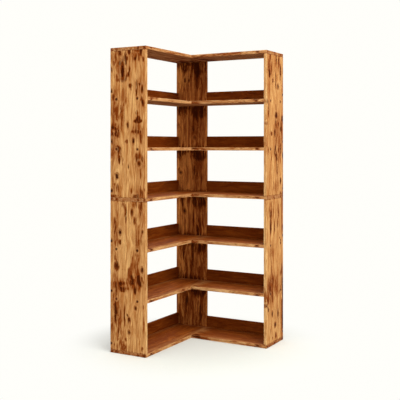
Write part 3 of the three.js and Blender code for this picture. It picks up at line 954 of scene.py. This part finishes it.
# %% The wear group
tree, given, ending = new_group(
    "Worn edges", {"Grain": None, "Edge Distance": 1.0, "Width": 0.004}, ("Wear",),
)
least_width = 0.1 * mm
broken = remap(tree, noise(tree, given["Grain"], (60.0, 24.0, 60.0), 3.0, 0.6), 0.35, 0.7)
width = maths(tree, "MAXIMUM", times(tree, given["Width"], broken), least_width)
ratio = maths(tree, "DIVIDE", given["Edge Distance"], width)
fill(tree, ending, {"Wear": remap(tree, ratio, 0.2, 1.0, 1.0, 0.0, smooth=True)})
wear_group = tree
print("group:", wear_group.name)

# %% [markdown]
# ## The wood materials
#
# All the wood is one kind, but panels, boards and rails differ in tone and in the width of their
# staves; the darker tones of the boards' faces and of the rails are painted shade. Each material
# therefore holds the same four groups with its own values and colours. The colours are layered as a
# finisher would see them: pale and tan wood, orange streaks, the heartwood of the stains, which also
# colours the painted shade, knots, worn edges, and the darkest pits last. A stain is torn at its rim
# by flames and streaks, which are added to it before it is cut off, and the dark lines fleck it.

# %% Layers and sums


def use_group(tree, group, sockets):
    """The outputs of a group that is added with its sockets filled."""
    return add_node(tree, "ShaderNodeGroup", sockets, node_tree=group).outputs


def layered(tree, colour, layers):
    """The colour under layers of paint. Each layer is (amount, share, paint), and covers as much as
    its amount times its share."""
    for amount, share, paint in layers:
        colour = mixed(tree, times(tree, amount, share), colour, paint)
    return colour


def summed(tree, start, terms):
    """The start plus every term's value times its weight."""
    for value, weight in terms:
        start = times_plus(tree, value, weight, start)
    return start


print("groups to use:", ", ".join(sorted(group.name for group in bpy.data.node_groups)))

# %% Build a wood material
red_wood = (0.20, 0.036, 0.003, 1)
dark_wood = (0.038, 0.006, 0.001, 1)
wood_ior, bump_strength, bump_height = 1.47, 0.5, 0.6 * mm
wood_labels = ("grain", "lay", "knot", "mark", "faces")


def wood_material(
    name, edge_wood, face_wood, stave_width, stave_start=0.0, rings=15.0, roughness=0.5,
    spotted=0.6, contrast=0.4, tone=0.3, turn=2 * mm, gloss=0.01,
):
    """An oiled wood: pale and tan wood streaked together, with torn stains of red and dark heartwood,
    darkened by late wood, pores, knots and end grain. The stains also carry painted shade. Broad faces
    turn from the edge's pair of colours to their own over the distance turn, and undersides turn less
    far; on the boards that turn is painted shade."""
    material = bpy.data.materials.new(name)
    tree = cleared_tree(material)
    read = {
        label: add_node(tree, "ShaderNodeAttribute", attribute_name=label).outputs["Vector"]
        for label in wood_labels
    }
    # The mark's first value holds the stains and the painted shade alike.
    stain, veil, darkness = split(tree, read["mark"])
    end_grain, broad, under = split(tree, read["faces"])
    edge = split(tree, read["lay"])["Z"]
    stave = use_group(tree, stave_group, {
        "Grain": read["grain"], "Lay": read["lay"], "Width": stave_width, "Start": stave_start,
    })
    figure = use_group(tree, figure_group, {"Grain": stave["Grain"], "Rings": rings})
    knot = use_group(tree, knot_group, {
        "Knot": read["knot"], "Grain": read["grain"], "Darkness": darkness,
    })
    wear = use_group(tree, wear_group, {"Grain": read["grain"], "Edge Distance": edge})["Wear"]
    flames, streaks, dark_lines = figure["Flames"], figure["Streaks"], figure["Lines"]

    # On the boards the faces' pair is painted shade: broad faces darken away from the edges, undersides
    # less.
    inward = times(tree, broad, remap(tree, edge, 0.0, turn, 0.6, 1.0))
    inward = times(tree, inward, times_plus(tree, under, -0.45, 1.0))
    pale = mixed(tree, inward, edge_wood[0], face_wood[0])
    tan = mixed(tree, inward, edge_wood[1], face_wood[1])
    orange = mixed(tree, 0.45, tan, red_wood)
    streaky = times_plus(tree, flames, 0.35, times(tree, streaks, 0.65))
    colour = mixed(tree, remap(tree, streaky, 0.5 - contrast, 0.5 + contrast), pale, tan)
    warmth = times(tree, veil, times_plus(tree, flames, 0.7, 0.3))
    warmth = times_plus(tree, stave["Tone"], tone, warmth, clamp=True)
    colour = layered(tree, colour, (
        (warmth, 0.85, orange), (figure["Rings"], 0.3, orange), (dark_lines, 0.65, orange),
        (figure["Fibres"], 0.2, red_wood),
    ))

    stain = maths(tree, "MAXIMUM", stain, times(tree, figure["Blotches"], spotted))
    stain = maths(tree, "MAXIMUM", stain, times(tree, veil, 0.5))
    teeth = times_plus(tree, flames, 0.5, times(tree, streaks, 0.5))
    tear = times(tree, maths(tree, "SUBTRACT", teeth, 0.5), times_plus(tree, stain, 1.9, 0.6))
    flecked = times(tree, stain, times_plus(tree, dark_lines, -0.6, 1.06))
    torn = maths(tree, "ADD", flecked, tear)
    colour = mixed(tree, remap(tree, torn, 0.15, 0.75, 0.0, 0.96, smooth=True), colour, red_wood)
    colour = mixed(tree, remap(tree, torn, 0.75, 1.4, 0.0, 0.85, smooth=True), colour, dark_wood)
    colour = layered(tree, colour, (
        (knot["Halo"], 0.22, pale), (knot["Rim"], 0.85, red_wood), (wear, 0.5, pale),
        (end_grain, 0.4, red_wood),
    ))
    pits = maths(tree, "MAXIMUM", times(tree, figure["Pores"], 0.65), knot["Heart"])
    pits = maths(tree, "MAXIMUM", pits, times(tree, stave["Glue Line"], 0.5))
    colour = mixed(tree, pits, colour, dark_wood)

    rough = summed(tree, roughness, (
        (figure["Fibres"], 0.12), (wear, 0.12), (under, 0.4), (knot["Heart"], -0.1),
    ))
    height = summed(tree, 0.0, (
        (figure["Rings"], -0.25), (figure["Fibres"], -0.35), (pits, -0.9), (knot["Branch Rings"], 0.2),
    ))
    bump = add_node(tree, "ShaderNodeBump", {
        "Strength": bump_strength, "Distance": bump_height, "Height": height,
    })
    shader = add_node(tree, "ShaderNodeBsdfPrincipled", {
        "Base Color": colour, "Roughness": rough, "Normal": bump.outputs["Normal"],
        "IOR": wood_ior, "Specular IOR Level": gloss,
    })
    add_node(tree, "ShaderNodeOutputMaterial", {"Surface": shader.outputs["BSDF"]})
    return material


print("a wood reads:", ", ".join(wood_labels))

# %% [markdown]
# ## The wood's tones and its painted shade
#
# The real unit's wood is one sort, but its pieces differ: the panels are honey coloured and every sawn
# edge is kept paler. The boards' broad faces and the rails are painted darker, and that is painted
# shade, for the shade between the boards and at the back of each tier. The corner panel's darker,
# redder colours are in part painted shade too. The boards' undersides are rougher and get less of the
# painted shade. Painting each piece by hand would lose the link between them. So four materials share
# the figure, and each gets two pairs of colours, the pale and the tan one for its edges and for its
# faces.

# %% Place the wood on its pieces
panel_edges = ((0.95, 0.66, 0.29, 1), (0.47, 0.19, 0.048, 1))
board_edges = ((0.89, 0.57, 0.25, 1), (0.44, 0.17, 0.044, 1))
light_wood = ((0.91, 0.555, 0.212, 1), (0.43, 0.147, 0.030, 1))
# The boards' broad faces: darker than the edges, as painted shade.
board_faces_shaded = ((0.52, 0.150, 0.022, 1), (0.115, 0.019, 0.0015, 1))
# The rails' dark colours are painted shade.
rail_wood = ((0.36, 0.094, 0.012, 1), (0.11, 0.017, 0.0015, 1))
# The corner panel's colours, darker and redder than the end panels' faces, are in part painted shade.
corner_wood = ((0.94, 0.37, 0.085, 1), (0.34, 0.092, 0.018, 1))
woods = {
    "panel_wood": wood_material(
        "Panel wood", panel_edges, light_wood, stave_width=95 * mm, stave_start=17 * mm, rings=17.0,
        roughness=0.46, spotted=0.12, contrast=0.47,
    ),
    "board_wood": wood_material(
        "Board wood", board_edges, board_faces_shaded, stave_width=93 * mm, roughness=0.46, spotted=0.7,
        turn=60 * mm, gloss=0.02,
    ),
    "rail_wood": wood_material("Rail wood", rail_wood, rail_wood, stave_width=200 * mm),
    "corner_wood": wood_material(
        "Corner wood", corner_wood, corner_wood, stave_width=82 * mm, stave_start=68 * mm, rings=17.0,
        contrast=0.28, tone=0.05,
    ),
}
for node, piece in pieces.items():
    piece.data.materials.append(woods[slot_of[node]])
print("wood materials:", ", ".join(sorted(woods)))

# %% [markdown]
# ## The screws' finish
#
# The screws are blackened steel. The coating is rubbed a little on the rim and dulled elsewhere, so
# noise varies its colour and roughness. Object coordinates do here, because the pattern is tiny.

# %% Screw material
dull_coating, rubbed_coating = (0.010, 0.005, 0.003, 1), (0.045, 0.026, 0.016, 1)
dull_roughness, rubbed_roughness = 0.6, 0.4
screw_finish = bpy.data.materials.new("Blackened steel")
tree = cleared_tree(screw_finish)
coordinates = add_node(tree, "ShaderNodeTexCoord").outputs["Object"]
rubbed = remap(tree, noise(tree, coordinates, (400.0, 400.0, 400.0), 3.0, 0.6), 0.35, 0.75)
shader = add_node(tree, "ShaderNodeBsdfPrincipled", {
    "Base Color": mixed(tree, rubbed, dull_coating, rubbed_coating),
    "Roughness": remap(tree, rubbed, 0.0, 1.0, dull_roughness, rubbed_roughness),
    "Metallic": 0.6, "Specular IOR Level": 0.15,
})
add_node(tree, "ShaderNodeOutputMaterial", {"Surface": shader.outputs["BSDF"]})
for piece in screws.values():
    piece.data.materials.append(screw_finish)
print("screw material on", len(screws), "screws")

# %% [markdown]
# ## Floor and background
#
# The unit stands on a plain pale floor that runs into a white background without a line. The lamps
# light the floor only near the unit, so a real floor would turn grey farther out. In a studio a curved
# backdrop hides that. Here the floor's own paint turns into the background's colour between two
# distances from the unit, while near the unit lamps and shadows fall on it as usual. The floor throws
# less light back at the unit than the camera sees of it, which keeps the boards' undersides dark.

# %% Floor
floor_reach, floor_gap = 30.0, 0.5 * mm
paint_ends, background_starts = 0.42, 0.98
background_colour = (1.0, 0.995, 0.956, 1)
floor_lighting, floor_shown = (0.5, 0.497, 0.485, 1), (0.67, 0.69, 0.65, 1)


def sight(tree):
    """One for rays straight from the camera, and one for those and the ones that a glossy or a clear
    surface passes on."""
    path = add_node(tree, "ShaderNodeLightPath").outputs
    passed_on = maths(tree, "MAXIMUM", path["Is Glossy Ray"], path["Is Transmission Ray"])
    return path["Is Camera Ray"], maths(tree, "MAXIMUM", path["Is Camera Ray"], passed_on)


floor_mesh = bpy.data.meshes.new("floor")
floor_corners = np.array([[-1, -1, 0], [1, -1, 0], [1, 1, 0], [-1, 1, 0]]) * floor_reach
floor_mesh.from_pydata(floor_corners.tolist(), [], [[0, 1, 2, 3]])
floor = linked("floor", floor_mesh)
floor.location.z = cad_low[2] - floor_gap
floor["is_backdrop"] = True

paint = bpy.data.materials.new("Pale floor")
tree = cleared_tree(paint)
direct, seen = sight(tree)
floor_colour = mixed(tree, direct, floor_lighting, floor_shown)
near_paint = add_node(tree, "ShaderNodeBsdfDiffuse", {"Color": floor_colour}).outputs[0]
far_paint = add_node(tree, "ShaderNodeEmission", {"Color": background_colour, "Strength": 1.0}).outputs[0]
place = add_node(tree, "ShaderNodeTexCoord").outputs["Object"]
distance = vector_maths(tree, "LENGTH", place, result="Value")
far_share = times(tree, remap(tree, distance, paint_ends, background_starts, smooth=True), seen)
both = add_node(tree, "ShaderNodeMixShader", {0: far_share, 1: near_paint, 2: far_paint}).outputs[0]
add_node(tree, "ShaderNodeOutputMaterial", {"Surface": both})
floor_mesh.materials.append(paint)
print("floor at", round(floor.location.z, 4), "m")

# %% World
sky_colour, sky_low, sky_high = (1.0, 0.985, 0.96, 1), 0.4, 1.1
world = bpy.data.worlds.new("Studio")
bpy.context.scene.world = world
tree = cleared_tree(world)
_, seen = sight(tree)
direction = add_node(tree, "ShaderNodeTexCoord").outputs["Generated"]
overhead = remap(tree, split(tree, direction)["Z"], 0.0, 1.0, sky_low, sky_high)
soft = add_node(tree, "ShaderNodeBackground", {"Color": sky_colour, "Strength": overhead}).outputs[0]
white = add_node(tree, "ShaderNodeBackground", {"Color": background_colour, "Strength": 1.0}).outputs[0]
shown = add_node(tree, "ShaderNodeMixShader", {0: seen, 1: soft, 2: white}).outputs[0]
add_node(tree, "ShaderNodeOutputWorld", {"Surface": shown})
print("world:", world.name)

# %% [markdown]
# ## Lamps
#
# The light is a plain studio's: one large soft lamp high on the right and in front, and a weaker one
# on the left that opens the shadows. Large lamps give the faint, wide shadow on the floor.

# %% Lamps
lamp_aim = (0.0, 0.0, 1.0)
lamp_colour = (1.0, 0.98, 0.95)


def add_lamp(name, place, size, power):
    """A square area lamp at a place, turned so that it shines at the unit's middle."""
    data = bpy.data.lights.new(name, "AREA")
    data.shape = "SQUARE"
    data.size = size
    data.energy = power
    data.color = lamp_colour
    lamp = linked(name, data)
    lamp.location = place
    x, y, z = np.array(lamp_aim) - np.array(place)
    lamp.rotation_euler = (math.atan2(math.hypot(x, y), -z), 0, math.atan2(y, x) - math.pi / 2)


add_lamp("key", (4.9, -2.1, 5.8), 4.6, 512)
add_lamp("fill", (-0.2, -5.0, 5.8), 4.6, 115)

# %% [markdown]
# ## Camera
#
# The photograph was taken level, from about chest height, with a long lens. Upright lines stay upright
# because the camera isn't tilted: the frame is shifted down instead. The place, turn and lens come
# from fitting the unit's edges.

# %% Camera
camera_data = bpy.data.cameras.new("camera")
camera_data.sensor_width = 36
camera_data.lens = 68.06
camera_data.shift_y = -0.1367
camera = linked("camera", camera_data)
camera.location = (2.5312, -4.4710, 1.3607)
camera.rotation_euler = (math.radians(90), 0, math.radians(29.476))
bpy.context.scene.camera = camera
bpy.context.scene.view_settings.view_transform = "Standard"
print("camera at", tuple(round(v, 3) for v in camera.location))
